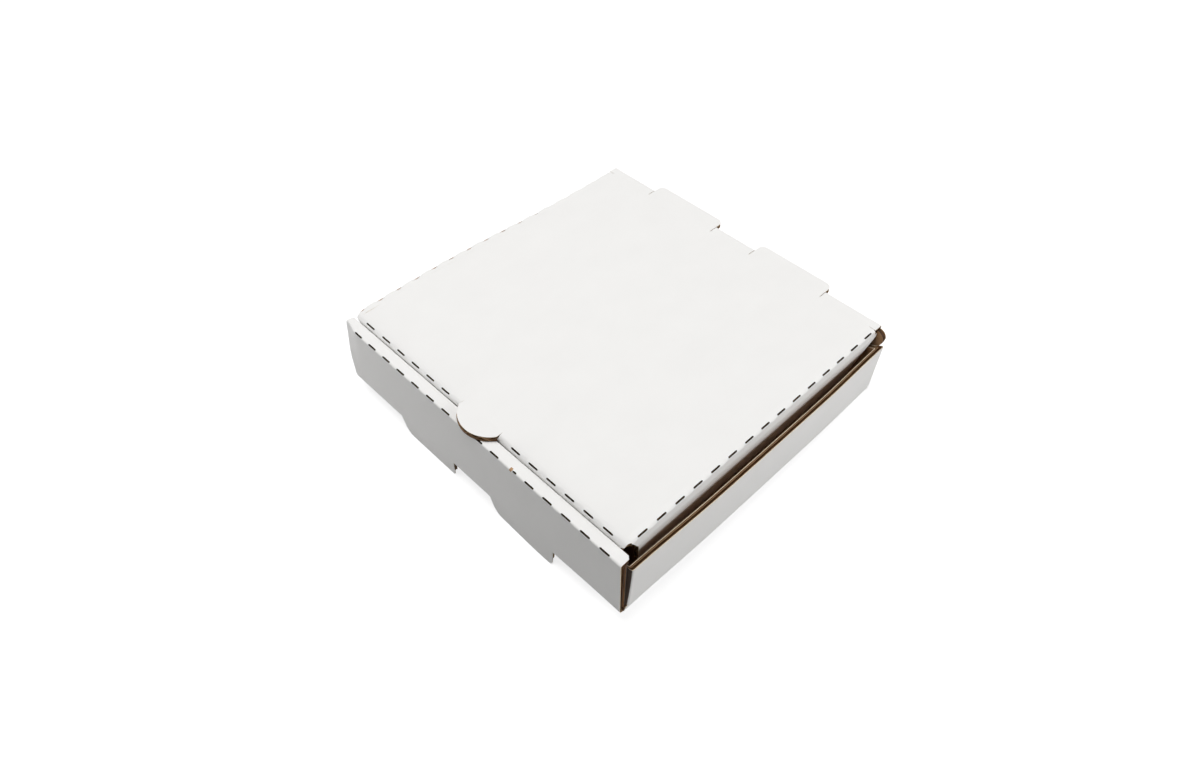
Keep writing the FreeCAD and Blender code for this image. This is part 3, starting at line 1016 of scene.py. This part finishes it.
def washboard(tree):
    """A wave from -1 to 1 that follows the flutes under a liner."""
    sheet = add_node(tree, "ShaderNodeAttribute", {"attribute_name": "flat_sheet"})["Vector"]
    across = add_node(tree, "ShaderNodeSeparateXYZ", None, {0: sheet})[0]
    angle = add_node(tree, "ShaderNodeMath", {"operation": "MULTIPLY"},
                     {0: across, 1: 2 * math.pi / FLUTE_PITCH})[0]
    return add_node(tree, "ShaderNodeMath", {"operation": "COSINE"}, {0: angle})[0]


def tone(tree, pattern, limits, low, high):
    """Colour that runs from low to high as a pattern rises from the first limit to the second."""
    share = add_node(tree, "ShaderNodeMapRange", None,
                     {"Value": pattern, "From Min": limits[0], "From Max": limits[1]})[0]
    return add_node(tree, "ShaderNodeMix", {"data_type": "RGBA"}, {0: share, 6: low, 7: high})[2]


def relief(tree, shader, parts):
    """Bump the surface by a sum of heights in millimetres."""
    total = 0.0
    for pattern, height in parts:
        total = add_node(tree, "ShaderNodeMath", {"operation": "MULTIPLY_ADD"},
                         {0: pattern, 1: height, 2: total})[0]
    bump = add_node(tree, "ShaderNodeBump", None, {"Strength": 1.0, "Distance": MM, "Height": total})
    tree.links.new(bump[0], shader.inputs["Normal"])


def bleached_liner():
    """Bleached liner, calendered: an even off-white with faint clouds and the flutes just showing."""
    material, tree, shader = new_material("bleached_liner")
    clouds = paper_noise(tree, 19.0, 27.0, 3.0)
    white = tone(tree, clouds, (0.3, 0.7), linear("F4F3F1"), linear("F6F5F3"))
    fibres = paper_noise(tree, 0.9, 0.16)
    roughness = add_node(tree, "ShaderNodeMath", {"operation": "MULTIPLY_ADD"},
                         {0: fibres, 1: 0.12, 2: 0.5})[0]
    tree.links.new(white, shader.inputs["Base Color"])
    tree.links.new(roughness, shader.inputs["Roughness"])
    shader.inputs["Specular IOR Level"].default_value = 0.25
    shader.inputs["IOR"].default_value = 1.45
    relief(tree, shader, [(fibres, 0.006), (washboard(tree), 0.006)])
    return material


def liner_cut_edge():
    """Edge of the liner where the die cut it: cream pulp, a little fuzzy."""
    material, tree, shader = new_material("liner_cut_edge")
    pulp = tone(tree, paper_noise(tree, 0.5, 0.5), (0.3, 0.7), linear("C9B596"), linear("E6D8C2"))
    tree.links.new(pulp, shader.inputs["Base Color"])
    shader.inputs["Roughness"].default_value = 0.85
    return material


def crushed_edge():
    """Edge of a perforation that the rule pressed down: brown pulp, with painted shade for the shadow in
    the cut.
    """
    material, _, shader = new_material("crushed_edge")
    # Painted shade: this dark brown stands for the shadow in cuts and gaps, over the crushed pulp's own
    # brown
    shader.inputs["Base Color"].default_value = linear("35271D")
    shader.inputs["Roughness"].default_value = 0.9
    return material


def kraft(name, low, high, wave_height):
    """Unbleached kraft: brown pulp with long fibres across the flutes and dark specks of bark."""
    material, tree, shader = new_material(name)
    fibres = paper_noise(tree, 2.6, 0.22, 3.0)
    pulp = add_node(tree, "ShaderNodeMath", {"operation": "ADD"},
                    {0: paper_noise(tree, 7.0, 5.0, 4.0), 1: fibres})[0]
    brown = tone(tree, pulp, (0.8, 1.2), linear(low), linear(high))
    speckled = tone(tree, paper_noise(tree, 0.7, 0.3), (0.70, 0.76), brown, linear("5E4328"))
    tree.links.new(speckled, shader.inputs["Base Color"])
    shader.inputs["Roughness"].default_value = 0.82
    shader.inputs["IOR"].default_value = 1.45
    relief(tree, shader, [(fibres, 0.015), (washboard(tree), wave_height)])
    return material


# Floor, light and camera

def seen_rays(tree):
    """1 for rays from the camera, also by way of a gloss or a clear body, and 0 for the rest."""
    rays = add_node(tree, "ShaderNodeLightPath")
    seen = rays["Is Camera Ray"]
    for kind in ("Is Glossy Ray", "Is Transmission Ray"):
        seen = add_node(tree, "ShaderNodeMath", {"operation": "MAXIMUM"}, {0: seen, 1: rays[kind]})[0]
    return seen


def make_floor():
    """White paper under the feet and the rear edge: the box leans back on it and casts a soft shadow."""
    half = 3.0
    mesh = bpy.data.meshes.new("floor")
    corners = [(-half, -half, 0), (half, -half, 0), (half, half, 0), (-half, half, 0)]
    mesh.from_pydata(corners, [], [(0, 1, 2, 3)])
    floor = bpy.data.objects.new("floor", mesh)
    floor.location = place(0, 0, -FOOT_DROP)
    floor.rotation_euler = (math.atan2(FOOT_DROP, BOX_DEPTH), 0, 0)
    material, tree, shader = new_material("white_paper")
    glow = add_node(tree, "ShaderNodeMath", {"operation": "MULTIPLY"},
                    {0: seen_rays(tree), 1: FLOOR_LIGHT})[0]
    shader.inputs["Base Color"].default_value = linear("ACACAC")
    shader.inputs["Roughness"].default_value = 0.9
    shader.inputs["Emission Color"].default_value = (1, 1, 1, 1)
    tree.links.new(glow, shader.inputs["Emission Strength"])
    mesh.materials.append(material)
    bpy.context.collection.objects.link(floor)


def make_lamp(name, location, target, size, power):
    """A soft square lamp, in metres and watts."""
    data = bpy.data.lights.new(name, "AREA")
    data.shape = "SQUARE"
    data.size = size
    data.energy = power
    lamp = bpy.data.objects.new(name, data)
    lamp.location = location
    lamp.rotation_euler = (Vector(target) - Vector(location)).to_track_quat("-Z", "Y").to_euler()
    bpy.context.collection.objects.link(lamp)


def make_camera():
    """Camera at the photograph's viewing angle and distance."""
    data = bpy.data.cameras.new("camera")
    data.sensor_width = SENSOR_WIDTH
    data.lens = LENS
    camera = bpy.data.objects.new("camera", data)
    sideways = Vector((math.sin(CAMERA_AZIMUTH), -math.cos(CAMERA_AZIMUTH), 0))
    back = sideways * math.cos(CAMERA_ELEVATION) + Vector((0, 0, math.sin(CAMERA_ELEVATION)))
    camera.location = place(*CAMERA_PLACE)
    camera.rotation_euler = back.to_track_quat("Z", "Y").to_euler()
    camera.rotation_euler.rotate_axis("Z", CAMERA_ROLL)
    bpy.context.collection.objects.link(camera)
    bpy.context.scene.camera = camera


def make_world():
    """A dim even room that is white to the camera, in a gloss and through a clear body."""
    world = bpy.data.worlds.new("room")
    world.use_nodes = True
    tree = world.node_tree
    background = tree.nodes["Background"]
    background.inputs["Color"].default_value = (1, 1, 1, 1)
    strength = add_node(tree, "ShaderNodeMath", {"operation": "MAXIMUM"},
                        {0: seen_rays(tree), 1: ROOM_LIGHT})[0]
    tree.links.new(strength, background.inputs["Strength"])
    bpy.context.scene.world = world


# The scene

MATERIALS = {
    "white": bleached_liner(),
    "edge": liner_cut_edge(),
    # Crushed pulp with painted shade, for cut rims, some raw edges and the right front corner gap
    "crushed": crushed_edge(),
    "kraft": kraft("kraft_liner", "A87F5A", "BF9B76", 0.02),
    "medium": kraft("kraft_fluting", "7E6042", "9A7A58", 0.0),
}

tray_strips = [tray_main(), foot(*LEFT_FOOT), foot(*RIGHT_FOOT)]
tray_strips += [tray_side(1), tray_side(-1), tray_side_fold(1), tray_side_fold(-1)]
lid_strips = [lid_main(), thumb_tab(), lid_side(1), lid_side(-1)]

for piece in build_board("tray", tray_strips, MATERIALS):
    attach(piece, "tray")
    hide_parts("tray")
for piece in build_board("lid", lid_strips, MATERIALS):
    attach(piece, "lid")
    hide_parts("lid")
for piece in build_board("crease", [rear_crease()], MATERIALS):
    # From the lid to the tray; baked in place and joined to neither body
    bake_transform(piece)

make_floor()
make_lamp("overhead", (-0.25, -0.05, 1.35), (0, 0, 0), size=0.9, power=15.2)
make_lamp("right_window", (1.0, 0.55, 0.45), (0.1, 0, 0.03), size=0.6, power=6.5)
make_lamp("low_left", (-0.45, -0.45, 0.09), (0, -0.1, 0.02), size=0.16, power=0.7)
make_world()
make_camera()
bpy.context.scene.view_settings.view_transform = "Standard"
